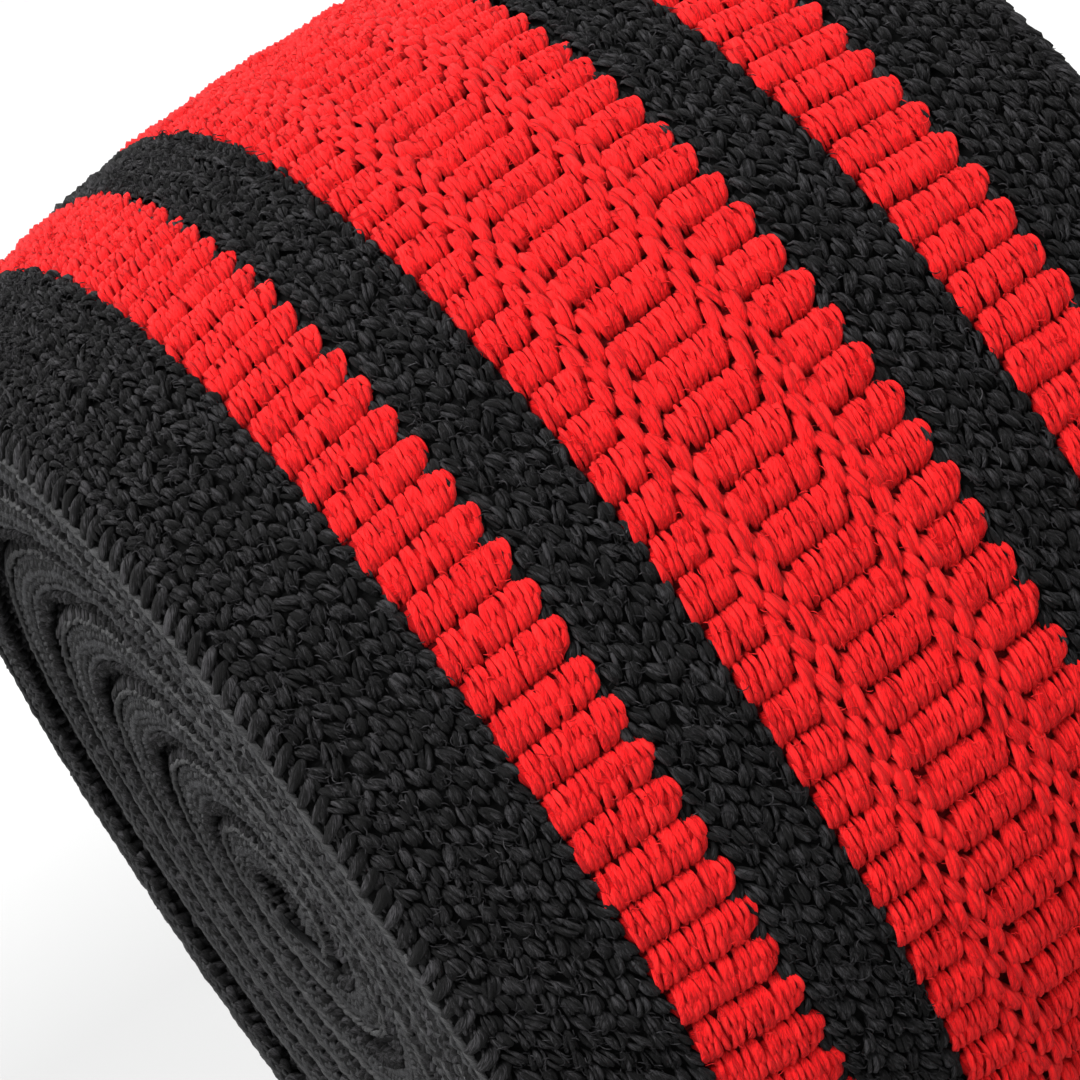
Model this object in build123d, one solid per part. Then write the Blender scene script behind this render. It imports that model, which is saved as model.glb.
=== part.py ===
from build123d import *
import math
import os

# A hand wrap: one long, thick, ribbed elastic band, wound into an oval roll that lies on its broad side.
# Millimetres. +X runs along the roll's axis, +Y is the back, where the outer end lies, and +Z is up.
# The origin is the middle of the flat patch that the roll rests on.

# ---- driving dimensions ----
BAND_WIDTH = 50.0
BAND_THICKNESS = 4.4            # at the middle of the band's width, ribs included
ROLL_HALF_HEIGHT = 35.4         # axis to top, at the middle of the width
ROLL_HALF_DEPTH = 43.3          # axis to front
ROLL_SQUARENESS = 2.24          # superellipse exponent of the outer turn
HEART_HALF_HEIGHT = 10.4        # the turn that closes round the tight coil at the heart of the roll
HEART_HALF_DEPTH = 13.8
TURNS_OVER_HEART = 5
EDGE_LOSS = 0.136               # share of the radius lost at each edge of the crowned roll
EDGE_LOSS_POWER = 2.2
HEART_SHIFT = 2.0               # how far back the tight coil sits in the turn round it
REST_FLAT = 0.6                 # how much the roll's own weight flattens its underside

# turns are counted along the band: whole numbers are at the top of the roll, quarters at the back
CORE_END = -1.5                 # the band starts at the bottom of the tight coil
PEEL_LINE = 5.014               # where the loose outer end begins to lift
TAIL_END = 5.150                # the band's outer end, on the back of the roll
TAIL_SLACK = 2.0                # how far the outer end stands off the turn below it
CUT_GAP = 0.4                   # clearance between the two sides of the peel line

# name and width of each stripe, from the near edge to the far one, and of the columns of the wide one
STRIPES = (
    ("near_selvedge", 1.4),
    ("near_edge_black", 7.35),
    ("near_red_stripe", 4.75),
    ("near_inner_black", 4.95),
    ("wide_stripe", 13.1),
    ("far_inner_black", 4.95),
    ("far_red_stripe", 4.75),
    ("far_edge_black", 7.35),
    ("far_selvedge", 1.4),
)
WIDE_COLUMNS = (
    ("near_rib", 2.4),
    ("near_openwork", 2.1),
    ("centre_rib", 3.9),
    ("far_openwork", 2.0),
    ("far_rib", 2.7),
)
RUBBER_THREAD = 0.5             # square rubber thread in each seam between two columns

BINDING = 0.8                   # tape folded over the band's outer end
BINDING_EASE = 0.12             # between the tape and the band inside it
BINDING_LENGTH = 8.0
BINDING_ROWS = (2.0, 6.0)       # rows of stitches, from the band's end
STITCH = (1.9, 0.5, 0.35)       # length, width and height of one stitch
STITCH_PITCH = 2.6
STITCH_LIFT = 0.02              # clearance under a stitch
STRAP_WIDTH = 40.0              # closure strap, with hook tape on its underside
STRAP_THICKNESS = 1.2
HOOK_THICKNESS = 1.4
STRAP_START = 5.1605
STRAP_END = 5.326
HOOK_START = 5.202
HOOK_EDGE = 1.0                 # hook tape to the strap's edge
HOOK_END_EDGE = 1.5             # hook tape to the strap's end
HOOK_SEAM = 0.08                # hook tape to the strap over it
STRAP_ROWS = (HOOK_START + 0.006, STRAP_END - 0.012)    # rows of stitches
STRAP_CLEARANCE = 0.5           # hooks to the turn that they lie on
STRAP_RISE = 2.2                # the strap climbs this much to reach the band's end
STRAP_RISE_TURNS = 0.04
LOOP_LENGTH = 38.0              # thumb loop, tucked along the heart of the roll
LOOP_WIDTH = 4.0
LOOP_TAPE = 0.7
LOOP_GAP = 0.5
LOOP_PLACE = (-1.0, 0.3, -1.7)  # along the axis, clear of the overlock, and off the roll's axis
BARTACK = (3.0, 0.45, 3.0)      # stitches that close the thumb loop
BARTACK_INSET = 4.0             # from the loop's end
BARTACK_LIFT = 0.01
OVERLOCK = 0.8                  # thread over the band's inner end
OVERLOCK_EDGE = 0.5             # short of the band's edges
OVERLOCK_MARGIN = 0.25          # short of the band's faces

CURVES_PER_TURN = 4             # the winding is drawn as quarter turns
MIN_CURVES = 3
POINTS_PER_CURVE = 5
MAX_STATION = 4.4               # longest step across the width between two lofted sections
SEAM = 0.02                     # clearance between neighbours across the width
AXIS_HEIGHT = ROLL_HALF_HEIGHT - REST_FLAT
HALF_WIDTH = BAND_WIDTH / 2


# ---- the winding ----
def smooth(value):
    value = min(1.0, max(0.0, value))
    return value * value * (3 - 2 * value)


def oval(angle, half_depth, half_height, power):
    c, s = abs(math.cos(angle)) / half_depth, abs(math.sin(angle)) / half_height
    return (c**power + s**power) ** (-1 / power)


def lap(turn):
    """How many band thicknesses out the turn lies: each turn climbs over the last across the back."""
    whole = math.floor(turn)
    return whole + smooth((turn - whole) * 2)


def outer_radius(turn):
    """Radius of the band's outer face at the middle of its width."""
    angle = math.radians(90 - 360 * turn)
    heart = oval(angle, HEART_HALF_DEPTH, HEART_HALF_HEIGHT, 2)
    outside = oval(angle, ROLL_HALF_DEPTH, ROLL_HALF_HEIGHT, ROLL_SQUARENESS)
    slack = TAIL_SLACK * smooth((turn - PEEL_LINE) / (TAIL_END - PEEL_LINE))
    return heart + (outside - heart) * lap(turn) / TURNS_OVER_HEART + slack


def crown(x):
    return 1 - EDGE_LOSS * abs(x / HALF_WIDTH) ** EDGE_LOSS_POWER


def place(x, turn, radius):
    angle = math.radians(90 - 360 * turn)
    back = HEART_SHIFT * max(0.0, -lap(turn))
    r = radius * crown(x)
    return Vector(x, back + r * math.cos(angle), AXIS_HEIGHT + r * math.sin(angle))


def stations(x0, x1):
    steps = max(1, math.ceil((x1 - x0) / MAX_STATION))
    return [x0 + (x1 - x0) * i / steps for i in range(steps + 1)]


def winding_curves(x, start, end, radius):
    """Smooth curves, a quarter turn each, along the winding from start to end."""
    count = max(MIN_CURVES, round((end - start) * CURVES_PER_TURN))
    curves = []
    for i in range(count):
        t0 = start + (end - start) * i / count
        t1 = start + (end - start) * (i + 1) / count
        turns = [t0 + (t1 - t0) * j / (POINTS_PER_CURVE - 1) for j in range(POINTS_PER_CURVE)]
        points = [place(x, t, radius(t)) for t in turns]
        tangents = [direction(x, t0, radius), direction(x, t1, radius)]
        curves.append(Edge.make_spline(points, tangents=tangents))
    return curves


def direction(x, turn, radius):
    step = 0.0005
    return place(x, turn + step, radius(turn + step)) - place(x, turn - step, radius(turn - step))


def ribbon(x0, x1, start, end, outer, inner):
    """A solid that follows the winding from start to end, between two depths that are functions of the turn."""
    sections = []
    for x in stations(x0, x1):
        over = winding_curves(x, start, end, outer)
        under = winding_curves(x, start, end, inner)
        caps = [Edge.make_line(over[-1] @ 1, under[-1] @ 1), Edge.make_line(under[0] @ 0, over[0] @ 0)]
        sections.append(Wire(over + under + caps))
    return Solid.make_loft(sections, ruled=True)


def layer(x0, x1, start, end, top, bottom):
    """Part of the band, between two depths under its outer face."""
    return ribbon(
        x0, x1, start, end, lambda t: outer_radius(t) - top, lambda t: outer_radius(t) - bottom
    )


def flattened(shape):
    """The underside, pressed flat where the roll rests."""
    size = 4 * ROLL_HALF_DEPTH
    floor = Pos(0, 0, -size / 2) * Box(size, size, size)
    return shape - floor if shape.bounding_box().min.Z < 0 else shape


def gap_turns(turn, gap):
    """A gap along the band's outer face, as a share of a turn."""
    step = 0.001
    a, b = place(0, turn, outer_radius(turn)), place(0, turn + step, outer_radius(turn + step))
    return gap * step / (a - b).length


# ---- parts of the band, on the roll and on its loose end ----
def columns(split_wide):
    """Name, start and end of each column of stitches, from the near edge to the far one."""
    x = -HALF_WIDTH
    found = []
    for name, width in STRIPES:
        parts = [(name, width)]
        if name == "wide_stripe" and split_wide:
            parts = [(f"{name}_{column}", column_width) for column, column_width in WIDE_COLUMNS]
        for part, part_width in parts:
            found.append((part, x, x + part_width))
            x += part_width
    return found


def band_parts(start, end, prefix, split_wide):
    """The columns of stitches, and the rubber threads that run in the seams between them."""
    made, threads = {}, []
    half = RUBBER_THREAD / 2
    middle = BAND_THICKNESS / 2
    for name, x0, x1 in columns(split_wide):
        low = x0 if x0 == -HALF_WIDTH else x0 + half + SEAM
        high = x1 if x1 > HALF_WIDTH - SEAM else x1 - half - SEAM
        made[prefix + name] = layer(low, high, start, end, 0, BAND_THICKNESS)
        if high < x1:
            threads.append(layer(x1 - half, x1 + half, start, end, middle - half, middle + half))
    made[f"{prefix}rubber_threads"] = Compound(threads)
    return made


# ---- the outer end: binding tape, stitches and closure strap ----
def end_binding():
    """Tape folded over the band's outer end, on both faces and round the edge."""
    start = TAIL_END - gap_turns(TAIL_END, BINDING_LENGTH)
    end = TAIL_END + gap_turns(TAIL_END, BINDING)
    fold = TAIL_END + gap_turns(TAIL_END, BINDING_EASE)
    sections = []
    for x in stations(-HALF_WIDTH, HALF_WIDTH):
        rings = [
            winding_curves(x, start, end, lambda t: outer_radius(t) + BINDING),
            winding_curves(x, start, end, lambda t: outer_radius(t) - BAND_THICKNESS - BINDING),
            winding_curves(x, start, fold, lambda t: outer_radius(t) - BAND_THICKNESS - BINDING_EASE),
            winding_curves(x, start, fold, lambda t: outer_radius(t) + BINDING_EASE),
        ]
        corners = [(0, 1, 1, 1), (1, 0, 2, 0), (2, 1, 3, 1), (3, 0, 0, 0)]
        joins = [Edge.make_line(rings[a][-p] @ p, rings[b][-q] @ q) for a, p, b, q in corners]
        sections.append(Wire([curve for ring in rings for curve in ring] + joins))
    return Solid.make_loft(sections, ruled=True)


def stitch_row(turn, depth, width):
    """A row of stitches across the band, lying on the surface that is depth above its outer face."""
    count = int(width / STITCH_PITCH)
    row = []
    for i in range(count):
        x = (i - (count - 1) / 2) * STITCH_PITCH
        radius = outer_radius(turn) + depth
        here = place(x, turn, radius)
        along = (place(x + 0.1, turn, radius) - place(x - 0.1, turn, radius)).normalized()
        back = (place(x, turn - 0.001, radius) - place(x, turn + 0.001, radius)).normalized()
        out = along.cross(back).normalized()
        if out.dot(here - Vector(x, 0, AXIS_HEIGHT)) < 0:
            out = -out
        plane = Plane(origin=here + out * (STITCH[2] / 2 + STITCH_LIFT), x_dir=along, z_dir=out)
        row.append(plane * Box(*STITCH))
    return row


def binding_stitches():
    rows = []
    for inset in BINDING_ROWS:
        turn = TAIL_END - gap_turns(TAIL_END, inset)
        rows += stitch_row(turn, BINDING, BAND_WIDTH - 2 * STITCH_PITCH)
    return Compound(rows)


def strap_radius(turn):
    """Underside of the closure strap: it lies on the turn below and climbs to the band's end."""
    rise = 1 - smooth((turn - STRAP_START) / STRAP_RISE_TURNS)
    return outer_radius(turn - 1) + STRAP_CLEARANCE + HOOK_THICKNESS + STRAP_RISE * rise


def closure_strap():
    half = STRAP_WIDTH / 2
    return ribbon(
        -half, half, STRAP_START, STRAP_END, lambda t: strap_radius(t) + STRAP_THICKNESS, strap_radius
    )


def hook_tape():
    half = STRAP_WIDTH / 2 - HOOK_EDGE
    end = STRAP_END - gap_turns(STRAP_END - 1, HOOK_END_EDGE)
    return ribbon(
        -half, half, HOOK_START, end,
        lambda t: strap_radius(t) - HOOK_SEAM, lambda t: strap_radius(t) - HOOK_THICKNESS
    )


def strap_stitches():
    rows = []
    for turn in STRAP_ROWS:
        lift = strap_radius(turn) + STRAP_THICKNESS - outer_radius(turn)
        rows += stitch_row(turn, lift, STRAP_WIDTH - 3)
    return Compound(rows)


# ---- the inner end: overlock and thumb loop ----
def overlock():
    start = CORE_END - OVERLOCK / (2 * math.pi * (outer_radius(CORE_END) - BAND_THICKNESS / 2))
    half = HALF_WIDTH - OVERLOCK_EDGE
    return layer(-half, half, start, CORE_END, OVERLOCK_MARGIN, BAND_THICKNESS - OVERLOCK_MARGIN)


def thumb_loop():
    """A flat elastic loop that lies along the roll's heart, beside the band's inner end."""
    outer_width = 2 * LOOP_TAPE + LOOP_GAP
    outline = SlotOverall(LOOP_LENGTH, outer_width) - SlotOverall(LOOP_LENGTH - 2 * LOOP_TAPE, LOOP_GAP)
    return Pos(*loop_centre()) * extrude(outline, LOOP_WIDTH / 2, both=True)


def loop_centre():
    end_face = place(0, CORE_END, outer_radius(CORE_END))
    x, clear, off_axis = LOOP_PLACE
    return (x, end_face.Y + OVERLOCK + clear + LOOP_TAPE + LOOP_GAP / 2, AXIS_HEIGHT + off_axis)


def loop_bartack():
    x, y, z = loop_centre()
    offset = LOOP_TAPE + LOOP_GAP / 2 + BARTACK[1] / 2 + BARTACK_LIFT
    return Pos(x + LOOP_LENGTH / 2 - BARTACK_INSET, y + offset, z) * Box(*BARTACK)


def build():
    gap = gap_turns(PEEL_LINE, CUT_GAP)
    parts = band_parts(CORE_END, PEEL_LINE - gap / 2, "", True)
    parts = {name: flattened(shape) for name, shape in parts.items()}
    parts.update(band_parts(PEEL_LINE + gap / 2, TAIL_END, "tail_", False))
    parts["tail_end_binding"] = end_binding()
    parts["tail_binding_stitches"] = binding_stitches()
    parts["closure_strap"] = closure_strap()
    parts["closure_hook_tape"] = hook_tape()
    parts["closure_stitches"] = strap_stitches()
    parts["core_end_overlock"] = overlock()
    parts["thumb_loop"] = thumb_loop()
    parts["thumb_loop_bartack"] = loop_bartack()
    return parts


def main():
    os.makedirs("parts", exist_ok=True)
    for name, shape in build().items():
        export_step(shape, f"parts/{name}.step")
    peel = place(0, PEEL_LINE, outer_radius(PEEL_LINE))
    middle = strap_radius(STRAP_START) + STRAP_THICKNESS / 2
    hinge = place(0, STRAP_START, middle)
    print("peel line", round(peel.Y, 3), round(peel.Z, 3))
    print("strap line", round(hinge.Y, 3), round(hinge.Z, 3))


main()
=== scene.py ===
import math

import bpy
import numpy as np
from mathutils import Matrix, Vector


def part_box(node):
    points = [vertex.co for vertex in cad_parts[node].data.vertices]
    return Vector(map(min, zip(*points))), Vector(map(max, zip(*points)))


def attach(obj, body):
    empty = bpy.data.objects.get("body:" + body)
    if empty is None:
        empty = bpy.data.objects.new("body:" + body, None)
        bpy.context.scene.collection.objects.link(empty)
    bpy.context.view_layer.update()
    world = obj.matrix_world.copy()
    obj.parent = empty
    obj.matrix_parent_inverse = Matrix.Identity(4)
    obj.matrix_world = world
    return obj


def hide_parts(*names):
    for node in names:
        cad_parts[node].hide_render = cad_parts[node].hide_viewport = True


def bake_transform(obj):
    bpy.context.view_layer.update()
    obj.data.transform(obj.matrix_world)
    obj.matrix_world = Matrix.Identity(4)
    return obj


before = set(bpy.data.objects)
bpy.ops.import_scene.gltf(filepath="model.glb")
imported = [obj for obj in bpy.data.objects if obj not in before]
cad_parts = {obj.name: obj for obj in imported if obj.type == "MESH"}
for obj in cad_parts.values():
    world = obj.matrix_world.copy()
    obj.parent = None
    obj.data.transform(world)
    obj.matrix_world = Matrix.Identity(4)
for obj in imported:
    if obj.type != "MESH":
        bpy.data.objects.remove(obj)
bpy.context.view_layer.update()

# A hand wrap: one thick ribbed elastic band, wound into an oval roll. Lengths in this script are millimetres,
# turned into metres where a mesh is made. Along the band, turns are whole at the top and .25 at the back.
MM = 0.001
rng = np.random.default_rng(7)

# ---- the winding, as the CAD part draws it ----
HALF_WIDTH = 25.0
THICKNESS = 4.4
AXIS_HEIGHT = 34.8
CORE_END, PEEL_LINE, TAIL_END = -1.5, 5.014, 5.150
TAIL_SLACK = 2.0
STRAP_START, STRAP_END, HOOK_START = 5.1605, 5.326, 5.202
STRAP_HALF = 20.0
STRAP_THICKNESS, HOOK_THICKNESS, STRAP_CLEARANCE, STRAP_RISE = 1.2, 1.4, 0.5, 2.2

# ---- the knit ----
PITCH = 2.17                    # one cushion rib
ROW = PITCH / 2                 # one course of the black ground
WALE = 0.8                      # one column of black stitches
RED_TOP, RED_FLOOR = 0.05, -0.85
BLACK_TOP, BLACK_FLOOR = -0.15, -0.8
NEAR_RED, WIDE_RED, FAR_RED = (-16.25, -11.5), (-6.55, 6.55), (11.5, 16.25)
NOSE = 0.4                      # the black knit reaches in this far between the rounded ends of the ribs
BLACKS = {
    "near_edge_black": (-24.1, NEAR_RED[0]),
    "near_inner_black": (NEAR_RED[1] - NOSE, WIDE_RED[0]),
    "far_inner_black": (WIDE_RED[1] - NOSE, FAR_RED[0]),
    "far_edge_black": (FAR_RED[1] - NOSE, 24.1),
}
BEND_START, BEND_END = 5.0, 5.028     # the stretch where the band bends at the peel line, between the roll and the loose end
SHOWN_START = 3.97                    # the outer turn starts here, under the loose end
CLOSE_START, CLOSE_END = 4.5, 5.0     # the part of the outer turn that faces the camera
HIDDEN = 0.35                         # relief is pressed flat this near the floor


def smooth(value):
    value = np.clip(value, 0, 1)
    return value * value * (3 - 2 * value)


def oval(angle, half_depth, half_height, power):
    c, s = np.abs(np.cos(angle)) / half_depth, np.abs(np.sin(angle)) / half_height
    return (c**power + s**power) ** (-1 / power)


def lap(turn):
    whole = np.floor(turn)
    return whole + smooth((turn - whole) * 2)


def outer_radius(turn):
    angle = np.radians(90 - 360 * turn)
    heart, outside = oval(angle, 13.8, 10.4, 2), oval(angle, 43.3, 35.4, 2.24)
    slack = TAIL_SLACK * smooth((turn - PEEL_LINE) / (TAIL_END - PEEL_LINE))
    return heart + (outside - heart) * lap(turn) / 5 + slack


def strap_radius(turn):
    rise = 1 - smooth((turn - STRAP_START) / 0.04)
    return outer_radius(turn - 1) + STRAP_CLEARANCE + HOOK_THICKNESS + STRAP_RISE * rise


def place(x, turn, radius):
    """Points of the roll, pressed flat where it rests on the floor."""
    angle = np.radians(90 - 360 * turn)
    back = 2.0 * np.maximum(0, -lap(turn))
    r = radius * (1 - 0.136 * np.abs(x / HALF_WIDTH) ** 2.2)
    z = AXIS_HEIGHT + r * np.sin(angle)
    z = np.where(z < HIDDEN, HIDDEN * np.exp(np.minimum(0, (z - HIDDEN) / HIDDEN)), z)
    return np.stack(np.broadcast_arrays(x, back + r * np.cos(angle), z), axis=-1)


TURNS = np.linspace(CORE_END - 0.02, STRAP_END + 0.02, 9000)


def running_length(radius):
    """Length along the band up to each of TURNS, at the middle of its width."""
    line = place(0.0 * TURNS, TURNS, radius(TURNS))
    return np.concatenate([[0], np.cumsum(np.linalg.norm(np.diff(line, axis=0), axis=1))])


LENGTHS = running_length(outer_radius)
STRAP_LENGTHS = running_length(strap_radius)


def length_at(turn):
    return float(np.interp(turn, TURNS, LENGTHS))


def turn_at(length):
    return np.interp(length, LENGTHS, TURNS)


def recess(turn):
    """How far the edge of each turn lies inside the outermost one's."""
    turns_in = [0, 1.1, 1.65, 2.6, 3.6, 4.6, 5.2, 6.7]
    return np.interp(5.2 - turn, turns_in, [0, 0.05, 0.8, 1.0, 1.2, 1.35, 1.6, 2.1])


def swell(turn):
    """How much thicker than the CAD band the knit is, so that one turn nearly meets the next."""
    room = (outer_radius(turn) - outer_radius(turn - 1)) * 0.97 / THICKNESS
    room = np.clip(room, 1.0, 1.32)
    hangs_off = smooth((turn - 4.27) / 0.08) * smooth((4.68 - turn) / 0.1)
    return np.where(turn > BEND_START - 0.03, 1.0, room - (room - 1) * hangs_off)


def outer_face(p):
    """(across, along, height) to the row frame, on the band's outer face."""
    turn = turn_at(p[..., 1])
    return place(p[..., 0], turn, outer_radius(turn) + p[..., 2])


def inner_face(p):
    turn = turn_at(p[..., 1])
    return place(p[..., 0], turn, outer_radius(turn) - THICKNESS - p[..., 2])


def inner_rim(p):
    """Like inner_face, for the turns inside the roll, whose edges are drawn in."""
    turn = turn_at(p[..., 1])
    x = p[..., 0] * (1 - recess(turn) / (HALF_WIDTH - 0.9))
    return place(x, turn, outer_radius(turn) - THICKNESS * swell(turn) - p[..., 2])


def edge_face(side):
    """(depth under the outer face, along, height off the edge) to the row frame, on one edge of the band."""
    def put(p):
        turn = turn_at(p[..., 1])
        x = side * (HALF_WIDTH - 0.75 - recess(turn) + p[..., 2])
        return place(x, turn, outer_radius(turn) - p[..., 0] * swell(turn))
    return put


# ---- meshes ----
def make_mesh(name, points, faces, yarn, materials, face_material=None):
    """A smooth-shaded object from numpy arrays: points in mm, faces as a list of (count, corners) arrays."""
    mesh = bpy.data.meshes.new(name)
    corners = np.concatenate([f.ravel() for f in faces]).astype(np.int32)
    sizes = np.concatenate([np.full(len(f), f.shape[1]) for f in faces]).astype(np.int32)
    mesh.vertices.add(len(points))
    mesh.vertices.foreach_set("co", (points * MM).astype(np.float32).ravel())
    mesh.loops.add(len(corners))
    mesh.loops.foreach_set("vertex_index", corners)
    mesh.polygons.add(len(sizes))
    mesh.polygons.foreach_set("loop_start", np.concatenate([[0], np.cumsum(sizes)[:-1]]).astype(np.int32))
    mesh.polygons.foreach_set("loop_total", sizes)
    for material in materials:
        mesh.materials.append(material)
    if face_material is not None:
        mesh.polygons.foreach_set("material_index", face_material.astype(np.int32))
    mesh.update(calc_edges=True)
    mesh.polygons.foreach_set("use_smooth", np.ones(len(sizes), bool))
    attribute = mesh.attributes.new("yarn", "FLOAT_VECTOR", "POINT")
    attribute.data.foreach_set("vector", yarn.astype(np.float32).ravel())
    mesh.validate()
    obj = bpy.data.objects.new(name, mesh)
    bpy.context.scene.collection.objects.link(obj)
    return obj


def tubes(paths, wide, high, sides, put, broad=0):
    """Closed yarns along paths (count, steps, 3), each ending in a point. wide is their half width
    towards the axis that broad names. Returns points, faces and yarn vectors."""
    count, steps, _ = paths.shape
    forward = np.gradient(paths, axis=1)
    forward /= np.linalg.norm(forward, axis=2, keepdims=True) + 1e-9
    across = np.zeros_like(forward)
    across[..., broad] = 1.0
    across -= (across * forward).sum(axis=2, keepdims=True) * forward
    across /= np.linalg.norm(across, axis=2, keepdims=True) + 1e-9
    lift = np.cross(across, forward)
    angles = np.arange(sides) * 2 * math.pi / sides + math.pi / 2
    ring = (
        paths[:, :, None, :]
        + (wide[..., None] * np.cos(angles))[..., None] * across[:, :, None, :]
        + (high[..., None] * np.sin(angles))[..., None] * lift[:, :, None, :]
    )
    tips = np.stack([
        paths[:, 0] - forward[:, 0] * high[:, :1] * 0.6,
        paths[:, -1] + forward[:, -1] * high[:, -1:] * 0.6,
    ], axis=1)
    run = np.concatenate([
        np.zeros((count, 1)), np.cumsum(np.linalg.norm(np.diff(paths, axis=1), axis=2), axis=1)
    ], axis=1)
    seed = rng.random((count, 1))
    yarn_ring = np.stack(np.broadcast_arrays(
        (wide[..., None] * (angles - math.pi / 2)), run[..., None], seed[..., None]), axis=-1)
    yarn_tips = np.stack([np.zeros((count, 2)), run[:, [0, -1]], np.repeat(seed, 2, axis=1)], axis=-1)
    per = steps * sides + 2
    points = np.concatenate([ring.reshape(count, -1, 3), tips], axis=1).reshape(-1, 3)
    yarn = np.concatenate([yarn_ring.reshape(count, -1, 3), yarn_tips], axis=1).reshape(-1, 3)
    i = np.arange(steps - 1)[:, None] * sides
    j = np.arange(sides)[None, :]
    k = (j + 1) % sides
    quads = np.stack([i + j, i + sides + j, i + sides + k, i + k], axis=-1).reshape(-1, 4)
    last, first_tip, last_tip = (steps - 1) * sides, steps * sides, steps * sides + 1
    j, k = j.ravel(), k.ravel()
    caps = np.concatenate([
        np.stack([j, k, np.full(sides, first_tip)], axis=-1),
        np.stack([last + k, last + j, np.full(sides, last_tip)], axis=-1),
    ])
    base = (np.arange(count) * per)[:, None, None]
    return put(points), [(quads + base).reshape(-1, 4), (caps + base).reshape(-1, 3)], yarn


def joined(groups):
    """Several results of tubes() as one."""
    points, quads, tris, yarn, offset = [], [], [], [], 0
    for p, (q, t), y in groups:
        points.append(p)
        quads.append(q + offset)
        tris.append(t + offset)
        yarn.append(y)
        offset += len(p)
    return np.concatenate(points), [np.concatenate(quads), np.concatenate(tris)], np.concatenate(yarn)


def grid(rows, columns, closed=False):
    """Quads of a grid of points, rows by columns, with the columns joined round if closed."""
    i = np.arange(rows - 1)[:, None] * columns
    j = np.arange(columns if closed else columns - 1)[None, :]
    k = (j + 1) % columns
    return np.stack([i + j, i + columns + j, i + columns + k, i + k], axis=-1).reshape(-1, 4)


# ---- materials ----
def node(tree, kind, x, y, **values):
    made = tree.nodes.new(kind)
    made.location = (x, y)
    for key, value in values.items():
        setattr(made, key, value)
    return made


def ramp(tree, x, y, source, stops):
    made = node(tree, "ShaderNodeValToRGB", x, y)
    elements = made.color_ramp.elements
    while len(elements) < len(stops):
        elements.new(0.5)
    for element, (position, colour) in zip(elements, stops):
        element.position = position
        element.color = (*colour, 1)
    tree.links.new(source, made.inputs["Fac"])
    return made.outputs["Color"]


def yarn_material(name, dark, middle, light, fibre, sheen, roughness=0.85, bump=0.9, twist=0.5,
                  stops=(0.42, 0.52, 0.66)):
    """Spun yarn: fibres run along each strand with a slight twist, and each strand has its own shade."""
    material = bpy.data.materials.new(name)
    material.use_nodes = True
    tree = material.node_tree
    shader = tree.nodes["Principled BSDF"]
    shader.inputs["Roughness"].default_value = roughness
    shader.inputs["Sheen Weight"].default_value = sheen
    shader.inputs["Sheen Roughness"].default_value = 0.45
    shader.inputs["Specular IOR Level"].default_value = 0.12
    attribute = node(tree, "ShaderNodeAttribute", -1500, 0, attribute_name="yarn")
    split = node(tree, "ShaderNodeSeparateXYZ", -1300, 0)
    tree.links.new(attribute.outputs["Vector"], split.inputs[0])
    turned = node(tree, "ShaderNodeMath", -1100, 100, operation="MULTIPLY_ADD")
    tree.links.new(split.outputs["Y"], turned.inputs[0])
    turned.inputs[1].default_value = twist
    tree.links.new(split.outputs["X"], turned.inputs[2])
    place_of = node(tree, "ShaderNodeCombineXYZ", -900, 0)
    shift = node(tree, "ShaderNodeMath", -1100, -100, operation="MULTIPLY")
    tree.links.new(split.outputs["Z"], shift.inputs[0])
    shift.inputs[1].default_value = 90.0
    squeeze = node(tree, "ShaderNodeMath", -1100, -250, operation="MULTIPLY")
    tree.links.new(split.outputs["Y"], squeeze.inputs[0])
    squeeze.inputs[1].default_value = 0.16
    tree.links.new(turned.outputs[0], place_of.inputs["X"])
    tree.links.new(squeeze.outputs[0], place_of.inputs["Y"])
    tree.links.new(shift.outputs[0], place_of.inputs["Z"])
    fibres = node(tree, "ShaderNodeTexNoise", -700, 100)
    fibres.inputs["Scale"].default_value = fibre
    fibres.inputs["Detail"].default_value = 5.0
    fibres.inputs["Roughness"].default_value = 0.65
    tree.links.new(place_of.outputs[0], fibres.inputs["Vector"])
    clumps = node(tree, "ShaderNodeTexNoise", -700, -200)
    clumps.inputs["Scale"].default_value = 1.3
    clumps.inputs["Detail"].default_value = 2.0
    tree.links.new(place_of.outputs[0], clumps.inputs["Vector"])
    shade = node(tree, "ShaderNodeMath", -480, 0, operation="MULTIPLY_ADD")
    tree.links.new(clumps.outputs["Fac"], shade.inputs[0])
    shade.inputs[1].default_value = 0.45
    half = node(tree, "ShaderNodeMath", -600, 250, operation="MULTIPLY")
    tree.links.new(fibres.outputs["Fac"], half.inputs[0])
    half.inputs[1].default_value = 0.55
    tree.links.new(half.outputs[0], shade.inputs[2])
    colour = ramp(tree, -300, 0, shade.outputs[0], list(zip(stops, (dark, middle, light))))
    tree.links.new(colour, shader.inputs["Base Color"])
    relief = node(tree, "ShaderNodeBump", -200, -300)
    relief.inputs["Strength"].default_value = bump
    relief.inputs["Distance"].default_value = 0.35 * MM
    tree.links.new(fibres.outputs["Fac"], relief.inputs["Height"])
    tree.links.new(relief.outputs["Normal"], shader.inputs["Normal"])
    return material


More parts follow.
